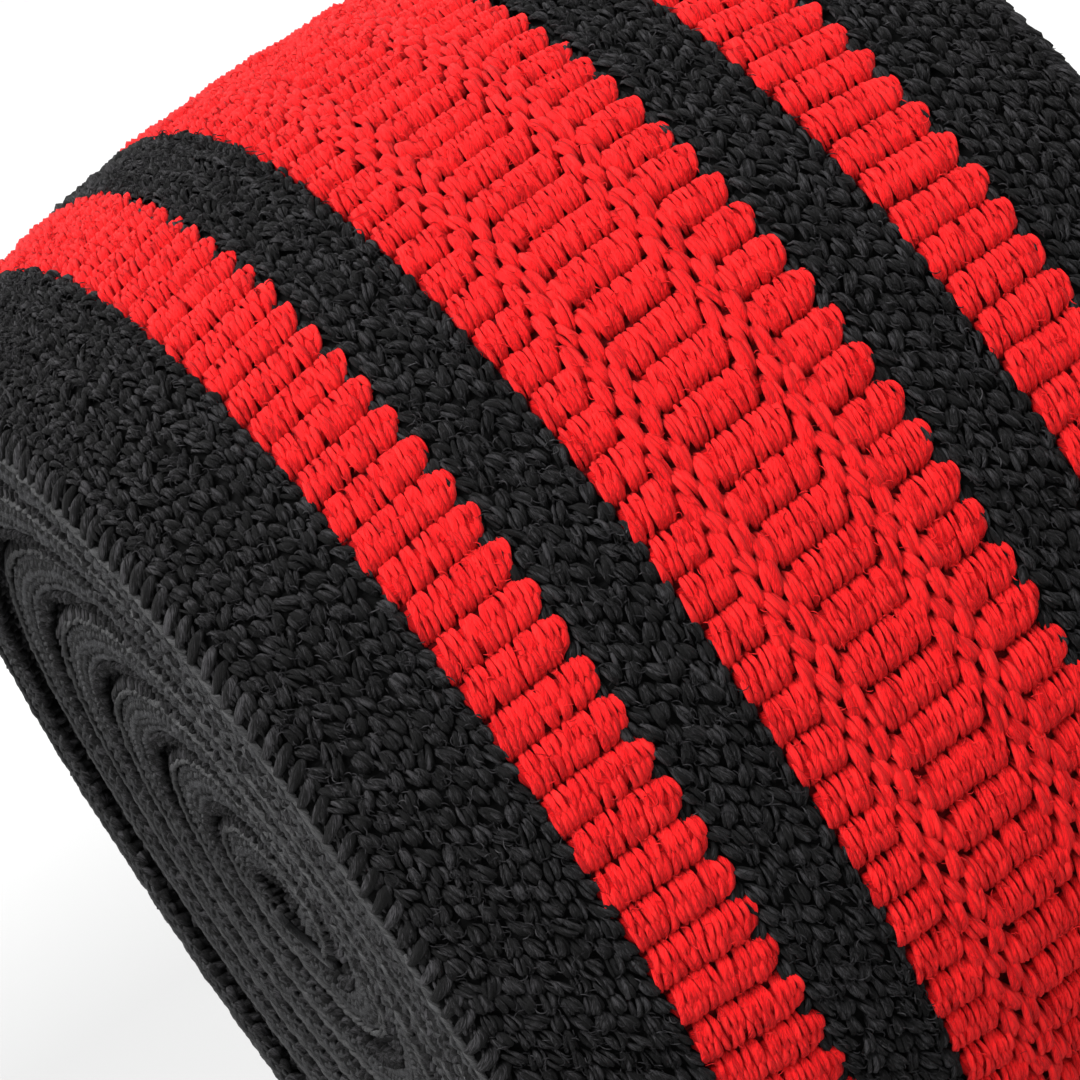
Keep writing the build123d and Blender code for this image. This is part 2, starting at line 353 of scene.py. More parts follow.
RED = yarn_material("red_yarn", (0.55, 0.002, 0.004), (1.0, 0.011, 0.013), (1.0, 0.027, 0.024), 13, 0.03)
# Painted shade: the rib cores are a darker red than the strands over them, for the shade under and between
# the strands.
SHADED_RED_CORE = yarn_material("red_core", (0.3, 0.001, 0.002), (0.62, 0.004, 0.006), (0.8, 0.008, 0.01), 11, 0.0)
# Painted shade: the ground of the band is a much darker red than the yarn on it, for the shade in the grooves
# and holes.
SHADED_RED_GROUND = yarn_material(
    "red_ground", (0.10, 0.001, 0.002), (0.2, 0.003, 0.005), (0.3, 0.006, 0.01), 6, 0.0)
BLACK = yarn_material(
    "black_yarn", (0.001, 0.001, 0.0011), (0.0045, 0.0043, 0.0047), (0.055, 0.053, 0.057), 17, 0.02,
    stops=(0.43, 0.5, 0.6))
FUZZ = yarn_material(
    "black_fuzz", (0.006, 0.006, 0.0065), (0.022, 0.021, 0.023), (0.08, 0.078, 0.082), 5, 0.0)
# Painted shade: the black ground, seen between the grains, is darker than the black yarn.
SHADED_BLACK_GROUND = yarn_material(
    "black_ground", (0.002, 0.002, 0.002), (0.004, 0.004, 0.004), (0.01, 0.01, 0.011), 6, 0.0)
# edge_yarn and lip_yarn are lighter grey than the black yarn: partly the fuzz of the band's edge, partly
# painted light where the lamps catch the roll's end faces.
EDGE_FUZZ_AND_LIGHT = yarn_material(
    "edge_yarn", (0.012, 0.012, 0.013), (0.026, 0.026, 0.028), (0.055, 0.055, 0.058), 11, 0.06)
LIP_FUZZ_AND_LIGHT = yarn_material("lip_yarn", (0.02, 0.02, 0.021), (0.042, 0.042, 0.043), (0.09, 0.09, 0.093), 11, 0.08)
THREAD = yarn_material(
    "sewing_thread", (0.006, 0.006, 0.007), (0.017, 0.017, 0.018), (0.05, 0.05, 0.053), 12, 0.06, 0.6)
TAPE = yarn_material(
    "binding_tape", (0.002, 0.002, 0.002), (0.007, 0.007, 0.0075), (0.03, 0.03, 0.032), 9, 0.03, 0.75)
WEBBING = yarn_material(
    "strap_webbing", (0.002, 0.002, 0.002), (0.008, 0.008, 0.0085), (0.034, 0.034, 0.036), 9, 0.03, 0.7)
HOOKS = yarn_material(
    "hook_tape", (0.006, 0.006, 0.006), (0.014, 0.014, 0.015), (0.03, 0.03, 0.032), 4, 0.0, 0.42, 0.2)
ELASTIC = yarn_material(
    "loop_elastic", (0.003, 0.003, 0.003), (0.01, 0.01, 0.0105), (0.04, 0.04, 0.042), 8, 0.05)
RUBBER = yarn_material(
    "rubber_thread", (0.30, 0.28, 0.24), (0.42, 0.39, 0.34), (0.5, 0.47, 0.41), 3, 0.0, 0.6, 0.2)


# ---- stitches ----
def spread(values, amount):
    return rng.normal(0, amount, values)


def strand_paths(x, s, length, lean, top, floor, steps, power=2.4, bulge=0.0, pinch_to=None, pinch=0.75):
    """Strands that arch over one rib. x, s, lean and top are arrays, one value a strand."""
    u = np.linspace(-1, 1, steps)
    arch = (1 - np.abs(u) ** power) ** 0.6
    height = floor + (top[:, None] - floor) * arch
    along = s[:, None] + u * length[:, None] / 2
    middle = x[:, None] if pinch_to is None else (
        pinch_to[:, None] + (x - pinch_to)[:, None] * (pinch + (1 - pinch) * arch))
    across = middle + lean[:, None] * u / 2 + np.asarray(bulge)[..., None] * arch
    return np.stack([across, along, height], axis=-1)


def bundle_table(edges, counts, far_nose):
    """Strands across one rib: place, middle of its bundle, and how far it bulges at a rounded end."""
    found = []
    for a, b, count in zip(edges[:-1], edges[1:], counts):
        for i in range(count):
            found.append((a + (i + 0.5) / count * (b - a), (a + b) / 2, 0.0))
    if far_nose:
        x = edges[-1]
        found[-1] = (x - 0.2, x - 0.5, 0.12)
        found.append((x + 0.0, x - 0.5, 0.3))
    return np.array(found)


def cushion_ribs(edges, counts, rib_centres, steps, sides, far_nose=False):
    """Fat cushion ribs with a hole between bundles in each groove. Close up, the yarn comes from both
    grooves as slanted fingers that interlock along the top of the rib."""
    if len(rib_centres) == 0:
        return []
    table = bundle_table(edges, counts, far_nose)
    gap = (edges[-1] - edges[0]) / sum(counts)
    ribs, strands = len(rib_centres), len(table)
    rib_shift = np.repeat(rib_centres + spread(ribs, 0.04), strands)
    bundle = np.tile(np.round(table[:, 1] * 50), ribs).astype(int)
    bundle_rise = spread(2000, 0.05)[(bundle + np.repeat(np.arange(ribs), strands) * 31) % 2000]
    bundle_slip = spread(2000, 0.03)[(bundle * 3 + np.repeat(np.arange(ribs), strands) * 17) % 2000]
    x, middle, nose = (np.tile(table[:, i], ribs) for i in range(3))
    count = len(x)
    made = []
    fine = steps > 6
    for way in ((-1, 1, -1, 1) if fine else (0,)):
        u = np.linspace(-1.1, 0.42, steps) * -way if way else np.linspace(-1, 1, steps)
        share = np.linspace(0, 1, steps)
        arch = np.maximum(0, 1 - np.abs(u) ** 2.0) ** 0.5
        lean = (0.3 if fine else 0.16) + spread(count, 0.1)
        top = RED_TOP - 0.1 - nose * 0.7 + bundle_rise + spread(count, 0.035)
        height = RED_FLOOR + (top[:, None] - RED_FLOOR) * arch
        if way:
            height = height - 0.3 * share**3
        length = PITCH * (0.955 + spread(count, 0.03)) - nose * 1.2
        along = (rib_shift + bundle_slip)[:, None] + u * length[:, None] / 2
        wobble = 0.04 * np.sin(3 * u[None, :] + rng.random((count, 1)) * 6)
        start = x + way * gap * 0.25 + rng.uniform(-0.1, 0.1, count)
        across = middle[:, None] + (start - middle)[:, None] * (0.74 + 0.26 * arch)
        across = across + lean[:, None] * u / 2 + nose[:, None] * arch + wobble
        paths = np.stack([across, along, height], axis=-1)
        if way:
            body = np.interp(share, [0, 0.25, 0.6, 1], [0.7, 1.0, 0.8, 0.35])
        else:
            body = 1 - 0.45 * np.abs(u) ** 3
        wide = gap * (0.46 if fine else 0.6) * body * (1 + nose[:, None] + spread((count, 1), 0.12))
        high = (0.16 if fine else 0.25) * body * (1 + spread((count, 1), 0.08))
        made.append(tubes(paths, wide, high, 5 if fine else sides, outer_face))
    return made


def rib_cores(edges, rib_centres, far_nose=False):
    """The full body of each rib under its strands, narrower where the holes between bundles are."""
    if len(rib_centres) == 0:
        return []
    end = edges[-1] + (0.12 if far_nose else 0.0)
    x = np.sort(np.concatenate([np.linspace(edges[0] + 0.05, end, 3 * len(edges)), edges[1:-1]]))
    hole = np.min(np.abs(x[:, None] - np.array(edges[1:-1])[None, :]), axis=1)
    narrow = 1 - 0.28 * np.exp(-(hole / 0.22) ** 2)
    count = len(rib_centres)
    along = rib_centres[:, None] + 0 * x
    paths = np.stack([x + 0 * along, along, np.full(along.shape, -0.56)], axis=-1)
    rounded = np.where(x > end - 0.3, 0.75, 1.0) if far_nose else 1.0
    wide = 0.38 * PITCH * narrow * rounded * np.ones((count, 1))
    high = 0.4 * narrow * rounded * np.ones((count, 1))
    return [tubes(paths, wide, high, 10, outer_face, broad=1)]


def leaves(x, half_pitch, rib_centres, steps, sides, lean, top=-0.12, plies=3, reach=1.0):
    """Slanted leaf-shaped stitches of the openwork, one to a rib, half a pitch off if asked."""
    made = []
    for ply in range(plies):
        count = len(rib_centres)
        if count == 0:
            continue
        offset = (ply - (plies - 1) / 2) * 0.23
        s = rib_centres + (PITCH / 2 if half_pitch else 0) + spread(count, 0.05)
        where = np.full(count, x + offset) + spread(count, 0.03)
        paths = strand_paths(
            where, s + spread(count, 0.05), np.full(count, PITCH * reach), lean + spread(count, 0.14),
            top + spread(count, 0.06), RED_FLOOR, steps, power=2.4, pinch_to=np.full(count, x), pinch=0.4)
        u = np.linspace(-1, 1, steps)
        body = 1 - 0.5 * np.abs(u) ** 2
        wide = 0.19 * body * (1 + spread((count, 1), 0.15))
        made.append(tubes(paths, wide, 0.17 * body * np.ones((count, 1)), sides, outer_face))
    return made


def black_grains(x0, x1, start, end, steps, sides, put=outer_face, top=BLACK_TOP, floor=BLACK_FLOOR):
    """Plump slanted stitches in staggered columns, each of four plies where the band is close."""
    wales = max(1, round((x1 - x0) / WALE))
    wale = (x1 - x0) / wales
    rows = np.arange(math.ceil(start / ROW), math.ceil(end / ROW))
    if len(rows) == 0:
        return []
    column, row = [v.ravel() for v in np.meshgrid(np.arange(wales), rows, indexing="ij")]
    count = len(column)
    x = x0 + (column + 0.5) * wale + spread(count, 0.04)
    s = (row + 0.5 * (column % 2)) * ROW + spread(count, 0.06)
    side = np.where(column % 2 == 0, 1.0, -1.0)
    lean = -0.1 + side * 0.25 + spread(count, 0.16)
    tall = top + spread(count, 0.08) - 0.45 * np.exp(-((x - x0) / 0.55) ** 2)
    u = np.linspace(-1, 1, steps)
    plies = 4 if steps > 5 else 1
    made = []
    for ply in range(plies):
        loose = 1 if plies > 1 else 0
        length = ROW * (1.05 + spread(count, 0.08))
        away = (ply - (plies - 1) / 2) * 0.17
        paths = strand_paths(
            x + away + loose * spread(count, 0.025), s + loose * spread(count, 0.05), length,
            lean + loose * spread(count, 0.13), tall - abs(away) * 0.6 + loose * spread(count, 0.06), floor,
            steps, power=2.4, pinch_to=x, pinch=0.5)
        if loose:
            paths = paths + np.cumsum(spread(paths.shape, 0.018), axis=1)
        body = 1 - 0.5 * u**2
        wide = (0.13 if plies > 1 else 0.36) * body * (1 + spread((count, 1), 0.22))
        high = (0.12 if plies > 1 else 0.26) * body * (1 + spread((count, 1), 0.15))
        made.append(tubes(paths, wide, high, 4 if plies > 1 else sides, put))
    return made


def stray_fibres(x0, x1, start, end, per_mm, top, put=outer_face, length=0.5, thick=0.034):
    """Loose fibre ends that curl over the knit."""
    count = round((x1 - x0) * (end - start) * per_mm)
    u = np.linspace(-1, 1, 5)
    turn = rng.normal(2.1, 0.6, (count, 1))
    curl = rng.uniform(-0.9, 0.9, (count, 1))
    half = length * rng.uniform(0.3, 0.62, (count, 1))
    across = rng.uniform(x0, x1, (count, 1)) + half * (u * np.cos(turn) + curl * u**2 * np.sin(turn))
    along = rng.uniform(start, end, (count, 1)) + half * (u * np.sin(turn) - curl * u**2 * np.cos(turn))
    height = top + rng.uniform(-0.3, 0.12, (count, 1)) + 0.14 * (1 - u**2)
    size = thick * (1 - 0.4 * u**2) * np.ones((count, 1))
    return tubes(np.stack([across, along, height], axis=-1), size, size, 3, put)


def teeth(side, start, end, steps, sides, depth=0.0, flip=1):
    """Short fingers along the edge of the band, two to a rib."""
    put = edge_face(side)
    rows = np.arange(math.ceil(start / ROW), math.ceil(end / ROW))
    count = len(rows)
    if count == 0:
        return []
    u = np.linspace(0, 1, steps)
    s = (rows * ROW + spread(count, 0.06))[:, None] + (0.45 - 0.8 * u)
    deep = depth + flip * (0.62 - 0.38 * np.sin(u * math.pi * 0.85) + 0.3 * u) + spread((count, 1), 0.03)
    off = -1.0 + 1.05 * u + spread((count, 1), 0.04)
    paths = np.stack([deep + 0 * s, s, off], axis=-1)
    body = np.sin(math.pi * (0.2 + 0.62 * u)) ** 0.7
    wide = 0.3 * body * (1 + spread((count, 1), 0.08))
    return [tubes(paths, wide, 0.34 * body + 0 * wide, sides, put)]


def lip(side, start, end, steps, sides, depth=0.95):
    """The fuzzy cord along the very edge, of short slanted stitches."""
    put = edge_face(side)
    rows = np.arange(math.ceil(start / ROW * 2), math.ceil(end / ROW * 2))
    count = len(rows)
    if count == 0:
        return []
    u = np.linspace(-1, 1, steps)
    s = (rows * ROW / 2 + spread(count, 0.06))[:, None] + u * 0.8
    deep = depth + 0.1 * u + spread((count, 1), 0.07)
    off = 0.1 - 0.1 * u**2 + spread((count, 1), 0.03)
    paths = np.stack([deep, s, off], axis=-1)
    body = 1 - 0.55 * u**2
    wide = 0.13 * body * (1 + spread((count, 1), 0.2))
    return [tubes(paths, wide, 0.16 * body + 0 * wide, sides, put)]


def edge_loops(side, start, end, steps, sides):
    """The net of small loops on the band's edge: rows that lean one way and the other."""
    put = edge_face(side)
    made = []
    for index, depth in enumerate((1.4, 1.85, 2.3, 2.75, 3.2)):
        rows = np.arange(math.ceil(start / ROW), math.ceil(end / ROW))
        count = len(rows)
        if count == 0:
            continue
        u = np.linspace(-1, 1, steps)
        s = ((rows + 0.5 * (index % 2)) * ROW + spread(count, 0.07))[:, None] + u * 0.66
        lean = (1 if index % 2 else -1) * 0.26 + spread((count, 1), 0.08)
        deep = depth + lean * u + spread((count, 1), 0.04)
        off = -0.2 + 0.3 * (1 - u**2) + spread((count, 1), 0.03) - 0.07 * abs(index - 2)
        body = 1 - 0.5 * u**2
        paths = np.stack([deep, s, off], axis=-1)
        wide = 0.2 * body * (1 + spread((count, 1), 0.12))
        made.append(tubes(paths, wide, 0.16 * body + 0 * wide, sides, put))
    return made


# ---- the ground of the band: one closed ribbon under the relief ----
def ribbon(name, start, end, step=1.1):
    """The band without its relief, closed all round, red under the red stripes."""
    a, b = length_at(start), length_at(end)
    stations = np.linspace(a, b, max(4, round((b - a) / step)))
    turns = turn_at(stations)
    red_ground = [(low, high - NOSE) for low, high in (NEAR_RED, WIDE_RED, FAR_RED)]
    cuts = [cut for limits in red_ground for cut in limits]
    half = HALF_WIDTH - 0.9
    across = np.unique(np.concatenate([np.linspace(-half, half, 21), cuts]))
    share = np.linspace(0, 1, 6)[1:-1]
    over = np.stack([across, 0 * across - 1], axis=1)
    far = np.stack([0 * share + half, share], axis=1)
    under = over[::-1] * [1, 0] + [0, 2]
    near = far[::-1] * [-1, 1]
    section = np.concatenate([over, far, under, near])
    xs, kind = section[:, 0], section[:, 1]
    drawn = xs[None, :] * (1 - recess(turns)[:, None] / half)
    outer, depth = outer_radius(turns)[:, None], THICKNESS - 0.75
    side_share = np.clip(kind, 0, 1)
    top, bottom = 0.75, depth
    down = np.where(kind < 0, top, np.where(kind > 1, bottom, top + (bottom - top) * side_share))
    puffed = np.where((kind >= 0) & (kind <= 1), 0.25 * np.sin(math.pi * side_share), 0) * np.sign(xs)
    rounded = 0.35 * np.abs(xs / half) ** 14
    down = np.where(kind < 0, down + rounded, np.where(kind > 1, down - rounded, down))
    down = np.where(kind < 0, down, down * swell(turns)[:, None])
    points = place(drawn + puffed, turns[:, None], outer - down).reshape(-1, 3)
    columns = len(section)
    quads = grid(len(turns), columns, closed=True)
    caps = [np.arange(columns)[::-1][None, :], (np.arange(columns) + (len(turns) - 1) * columns)[None, :]]
    shade = 0.1 * np.sin(stations)[:, None]
    yarn = np.stack(np.broadcast_arrays(xs[None, :], stations[:, None], shade), axis=-1)
    middle = (xs + np.roll(xs, -1)) / 2
    # Faces under the red stripes take the dark red of painted shade, the others the darkened black.
    red = np.zeros(columns, int)
    for low, high in red_ground:
        red |= ((middle > low) & (middle < high)).astype(int)
    face_red = np.concatenate([np.tile(red, len(turns) - 1), [0, 0]])
    return make_mesh(name, points, [quads, *caps], yarn.reshape(-1, 3), [SHADED_BLACK_GROUND, SHADED_RED_GROUND], face_red)


def rubber_threads(start, end):
    """Square rubber threads that run inside the band, one under each seam between two columns."""
    seams = [-23.6, *NEAR_RED, *WIDE_RED, *FAR_RED, 23.6]
    seams += [WIDE_RED[0] + x for x in (2.4, 4.5, 8.4, 10.4)]
    stations = np.linspace(length_at(start), length_at(end), round((length_at(end) - length_at(start)) / 1.6))
    narrow = 1 - recess(turn_at(stations)) / (HALF_WIDTH - 0.9)
    across = np.array(seams)[:, None] * narrow
    along = np.broadcast_to(stations, across.shape)
    paths = np.stack([across, along, np.full(across.shape, -THICKNESS / 2)], axis=-1)
    half = np.full(across.shape, 0.3)
    return tubes(paths, half, half, 4, outer_face)


# ---- the yarn on the band, in stretches that ride on the roll, stay fixed at the peel line, or ride on the loose end ----
RIB_CENTRES = np.arange(round(LENGTHS[-1] / PITCH)) * PITCH


def ribs_between(start, end):
    a, b = length_at(start), length_at(end)
    return RIB_CENTRES[(RIB_CENTRES >= a) & (RIB_CENTRES < b)]


def by_detail(start, end, make):
    """make(start, end, steps, sides) in up to three stretches, finer where the band faces the camera."""
    made = []
    for a, b, steps, sides in (
            (CORE_END, CLOSE_START, 5, 6), (CLOSE_START, CLOSE_END, 8, 7), (CLOSE_END, 6, 5, 6)):
        low, high = max(a, start), min(b, end)
        if low < high:
            made += make(low, high, steps, sides)
    return made


def narrow_edges(stripe):
    x0, x1 = stripe
    return x0 + (x1 - x0) * np.array([0, 0.235, 0.47, 0.765, 0.97])


def narrow_stripe(stripe, start, end):
    edges = narrow_edges(stripe)
    return by_detail(start, end, lambda a, b, steps, sides: cushion_ribs(
        edges, (3, 3, 4, 3), ribs_between(a, b), steps, sides, far_nose=True))


NEAR_RIB, CENTRE_RIB = np.array([0, 1.15, 2.35]), np.array([4.5, 5.9, 7.1, 8.4])
FAR_RIB = np.array([10.45, 11.6, 12.85])


def all_cores(start, end):
    ribs, x0 = ribs_between(start, end), WIDE_RED[0]
    return (
        rib_cores(narrow_edges(NEAR_RED), ribs, True) + rib_cores(x0 + NEAR_RIB, ribs)
        + rib_cores(x0 + CENTRE_RIB, ribs) + rib_cores(x0 + FAR_RIB, ribs, True)
        + rib_cores(narrow_edges(FAR_RED), ribs, True))


def wide_column(column, start, end):
    x0 = WIDE_RED[0]

    def make(a, b, steps, sides):
        ribs = ribs_between(a, b)
        if column == "near_rib":
            return cushion_ribs(x0 + NEAR_RIB, (3, 4), ribs, steps, sides)
        if column == "near_openwork":
            return (
                leaves(x0 + 2.65, True, ribs, steps, sides, 0.1)
                + leaves(x0 + 3.15, False, ribs, steps, sides, -0.28, reach=0.85)
                + leaves(x0 + 3.7, True, ribs, steps, sides, 0.34)
                + leaves(x0 + 4.2, False, ribs, steps, sides, 0.15, reach=0.85))
        if column == "centre_rib":
            return cushion_ribs(x0 + CENTRE_RIB, (4, 4, 4), ribs, steps, sides)
        if column == "far_openwork":
            return (
                leaves(x0 + 8.7, True, ribs, steps, sides, 0.3)
                + leaves(x0 + 9.2, False, ribs, steps, sides, -0.2, reach=0.85)
                + leaves(x0 + 9.75, True, ribs, steps, sides, 0.3)
                + leaves(x0 + 10.2, False, ribs, steps, sides, 0.1, reach=0.85))
        return cushion_ribs(x0 + FAR_RIB, (4, 4), ribs, steps, sides, far_nose=True)
    return by_detail(start, end, make)


WIDE_COLUMNS = ("near_rib", "near_openwork", "centre_rib", "far_openwork", "far_rib")


def black_stripe(name, start, end):
    x0, x1 = BLACKS[name]
    return by_detail(start, end, lambda a, b, steps, sides: black_grains(
        x0, x1, length_at(a), length_at(b), max(5, steps - 2), 6))


def selvedge(side, start, end):
    def make(a, b, steps, sides):
        low, high = length_at(a), length_at(b)
        return edge_loops(side, low, high, 5, 5 if steps < 6 else 6)
    return by_detail(start, end, make)


def edge_lip(side, start, end):
    return by_detail(start, end, lambda a, b, steps, sides: lip(side, length_at(a), length_at(b), 5, 5))


def edge_teeth(side, start, end):
    def make(a, b, steps, sides):
        low, high = length_at(a), length_at(b)
        fine = (7, 7) if steps > 6 else (5, 5)
        return teeth(side, low, high, *fine) + teeth(side, low, high, 5, 5, depth=THICKNESS, flip=-1)
    return by_detail(start, end, make)


def inner_relief(start, end):
    """Coarser stitches on the inner face, which shows when the loose end is peeled."""
    return black_grains(-24.0, 24.0, length_at(start), length_at(end), 5, 5, put=inner_face, top=-0.1)


bend_from = Vector(place(0.0, BEND_START, outer_radius(BEND_START)) * MM)
bend_to = Vector(place(0.0, BEND_END, outer_radius(BEND_END)) * MM)


def settle(obj, body, slot, *nodes):
    """obj rides on its body, or stays fixed in place at the peel line, and stands for the nodes."""
    if body == "bend":
        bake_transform(obj)
    else:
        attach(obj, body)
    if nodes:
        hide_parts(*nodes)
    return obj


STRETCHES = (("", "roll", CLOSE_START, CLOSE_END), ("under_", "roll", SHOWN_START, CLOSE_START),
             ("bend_", "bend", BEND_START, BEND_END), ("tail_", "loose_end", BEND_END, TAIL_END))
UNDER_BINDING = 3.2             # the knit stops this far short of the outer end, inside the binding
LARGEST_PIECE = 180000          # triangles


def add_yarn(name, groups, material, body, slot, *nodes):
    """One piece of yarn, or several if it would be very large."""
    load = sum(2 * len(quads) + len(tris) for _, (quads, tris), _ in groups)
    shares = math.ceil(load / LARGEST_PIECE)
    for i in range(shares):
        points, faces, yarn = joined(groups[i::shares])
        obj = make_mesh(name if i == 0 else f"{name}_{i + 1}", points, faces, yarn, [material])
        settle(obj, body, slot, *(nodes if i == 0 else ()))


def node_of(prefix, stripe):
    """The CAD node that the yarn of one stripe replaces on one stretch, if any."""
    return (prefix + stripe,) if prefix in ("", "tail_") else ()


for prefix, body, start, end in STRETCHES:
    if prefix == "tail_":
        end = float(turn_at(length_at(TAIL_END) - UNDER_BINDING))
    add_yarn(f"{prefix}rib_cores", all_cores(start, end), SHADED_RED_CORE, body, "red_yarn")
    for stripe, limits in (("near_red_stripe", NEAR_RED), ("far_red_stripe", FAR_RED)):
        add_yarn(f"{prefix}{stripe}_yarn", narrow_stripe(limits, start, end), RED, body, "red_yarn",
                 *node_of(prefix, stripe))
    for stripe in BLACKS:
        add_yarn(f"{prefix}{stripe}_yarn", black_stripe(stripe, start, end), BLACK, body, "black_yarn",
                 *node_of(prefix, stripe))
    for column in WIDE_COLUMNS:
        nodes = (f"wide_stripe_{column}",) if prefix == "" else ()
        if prefix == "tail_" and column == "centre_rib":
            nodes = ("tail_wide_stripe",)
        add_yarn(f"{prefix}wide_{column}_yarn", wide_column(column, start, end), RED, body, "red_yarn",
                 *nodes)
    for side, name in ((-1, "near_selvedge"), (1, "far_selvedge")):
        first = CORE_END if prefix == "under_" else start
        add_yarn(f"{prefix}{name}_teeth", edge_teeth(side, first, end), BLACK, body, "black_yarn")
        add_yarn(f"{prefix}{name}_lip", edge_lip(side, first, end), LIP_FUZZ_AND_LIGHT, body, "black_yarn")
        add_yarn(f"{prefix}{name}_yarn", selvedge(side, start, end), EDGE_FUZZ_AND_LIGHT, body, "black_yarn",
                 *node_of(prefix, name))
        if prefix == "under_":
            add_yarn(f"{name}_inner_yarn", selvedge(side, CORE_END, start), EDGE_FUZZ_AND_LIGHT, body, "black_yarn")
            low, high = sorted((side * 24.4, side * 22.8))
            rim = black_grains(
                low, high, length_at(CORE_END), length_at(BEND_START), 5, 5, put=inner_rim, top=-0.1)
            add_yarn(f"{name}_inner_rim_yarn", rim, BLACK, body, "black_yarn")
    if body != "roll":
        add_yarn(f"{prefix}inner_face_yarn", inner_relief(start, end), BLACK, body, "black_yarn")

near_camera = (length_at(CLOSE_START), length_at(CLOSE_END))
for name, (x0, x1) in BLACKS.items():
    fibres = stray_fibres(x0 + 0.8, x1 - 0.1, *near_camera, 4.4, BLACK_TOP + 0.02)
    add_yarn(f"{name}_fibres", [fibres], FUZZ, "roll", "black_yarn")
red_fibres = [
    stray_fibres(x0 + 0.2, x1 - 0.2, *near_camera, 1.4, RED_TOP - 0.1)
    for x0, x1 in (NEAR_RED, WIDE_RED, FAR_RED)]
add_yarn("red_fibres", red_fibres, RED, "roll", "red_yarn")

band = settle(ribbon("band_ground", CORE_END, BEND_START), "roll", "black_yarn")
for name, body, start, end in (("bend_ground", "bend", BEND_START - 0.0002, BEND_END + 0.0002),
                               ("tail_ground", "loose_end", BEND_END, TAIL_END)):
    settle(ribbon(name, start, end, 0.6), body, "black_yarn")
for name, body, start, end in (("rubber_threads", "roll", CORE_END + 0.01, BEND_START),
                               ("tail_rubber_threads", "loose_end", BEND_END, TAIL_END - 0.01)):
    points, faces, yarn = rubber_threads(start, end)
    cores = make_mesh(f"{name}_cores", points, faces, yarn, [RUBBER])
    settle(cores, body, "rubber_thread", name)


# ---- tapes, stitches and the closure at the outer end ----
def closed_section(name, rings, columns, yarn, material):
    """A closed tube of any section from rows of points that go round it."""
    first = np.arange(columns)
    last = first + (len(rings) - 1) * columns
    faces = [grid(len(rings), columns, closed=True), first[::-1][None, :], last[None, :]]
    return make_mesh(name, rings.reshape(-1, 3), faces, yarn.reshape(-1, 3), [material])


def weave(x, s, size=1.6, height=0.3):
    """Relief of a plain weave, up and down in turn."""
    column, row = np.floor(x / size), np.floor(s / size)
    bump = np.abs(np.sin(math.pi * x / size)) ** 0.6 * np.abs(np.sin(math.pi * s / size)) ** 0.6
    return height * bump * np.where((column + row) % 2 == 0, 1.0, 0.25)


def tape(name, half, start, end, radius, thickness, relief, material, step=0.3):
    """A woven tape that follows a winding. radius(turn) is its underside's."""
    length = float(np.interp(end, TURNS, STRAP_LENGTHS) - np.interp(start, TURNS, STRAP_LENGTHS))
    turns = np.linspace(start, end, round(length / step))
    along = np.interp(turns, TURNS, STRAP_LENGTHS)[:, None]
    x = np.linspace(-half, half, round(2 * half / step))
    soft = 1 - np.abs(x / half) ** 40
    over = thickness - 0.2 + relief(x[None, :], along) * soft
    over = over * (1 - 0.5 * np.abs(x / half) ** 60)
    under = 0.12 - relief(x[None, ::-1] + 0.3, along) * soft
    across = np.broadcast_to(np.concatenate([x, x[::-1]]), (len(turns), 2 * len(x)))
    lift = np.concatenate([over, under], axis=1)
    rings = place(across, turns[:, None], radius(turns)[:, None] + lift)
    yarn = np.stack(np.broadcast_arrays(across, along, 0.3 * np.sin(np.floor(across / 0.9))), axis=-1)
    return closed_section(name, rings, 2 * len(x), yarn, material)


def binding(name, length=8.0, thickness=0.75):
    """Tape folded over the end of the band, ribbed across its fold."""
    end = length_at(TAIL_END)
    flat = np.linspace(-length, 0.1, 38)
    bend = np.linspace(0, math.pi, 14)[1:-1]
    middle, radius = -THICKNESS / 2, THICKNESS / 2 + thickness - 0.1
    outer = [(s, middle + radius) for s in flat]
    outer += [(0.1 + 0.55 * math.sin(b), middle + radius * math.cos(b)) for b in bend]
    outer += [(s, middle - radius) for s in flat[::-1]]
    inner_radius = radius - thickness + 0.15
    inner = [(s, middle - inner_radius) for s in flat] + [(s, middle + inner_radius) for s in flat[::-1]]
    outline = np.array(outer + inner)
    x = np.linspace(-HALF_WIDTH, HALF_WIDTH, 230)
    ribs = np.zeros((len(x), len(outline)))
    count = len(outer)
    reach_along = np.arange(count) * 0.215
    ribs[:, :count] = weave(x[:, None], reach_along[None, :], 1.3, 0.2)
    side = np.sign(outline[:, 1] - middle)
    s = end + outline[:, 0][None, :] + 0 * x[:, None]
    turn = TAIL_END + (s - end) * 0.004 / (end - length_at(TAIL_END - 0.004))
    round_off = 1 - 0.06 * np.abs(x[:, None] / HALF_WIDTH) ** 30
    height = middle + (outline[:, 1] - middle)[None, :] * round_off + ribs * side[None, :]
    rings = place(x[:, None] + 0 * s, turn, outer_radius(turn) + height)
    shade = 0.3 * np.sin(np.arange(len(outline)))[None, :]
    yarn = np.stack(np.broadcast_arrays(x[:, None], s, shade), axis=-1)
    return closed_section(name, rings, len(outline), yarn, TAPE)


def stitch_row(along, height, half, put, pitch=2.6, reach=0.95):
    """Thread stitches across a tape, which dive into it at both ends."""
    x = np.arange(-half + pitch / 2, half - 0.2, pitch)
    u = np.linspace(-1, 1, 9)
    count = len(x)
    lean = spread((count, 1), 0.06)
    paths = np.stack([
        x[:, None] + u * reach, along + lean * u + 0 * x[:, None],
        height + 0.22 * (1 - u**4) - 0.25 + 0 * x[:, None]], axis=-1)
    size = np.full((count, 9), 0.2)
    return tubes(paths, size, size, 8, put, broad=1)


def strap_face(p):
    """(across, along, height) to the row frame, over the underside of the closure strap."""
    turn = np.interp(p[..., 1], STRAP_LENGTHS, TURNS)
    return place(p[..., 0], turn, strap_radius(turn) + p[..., 2])


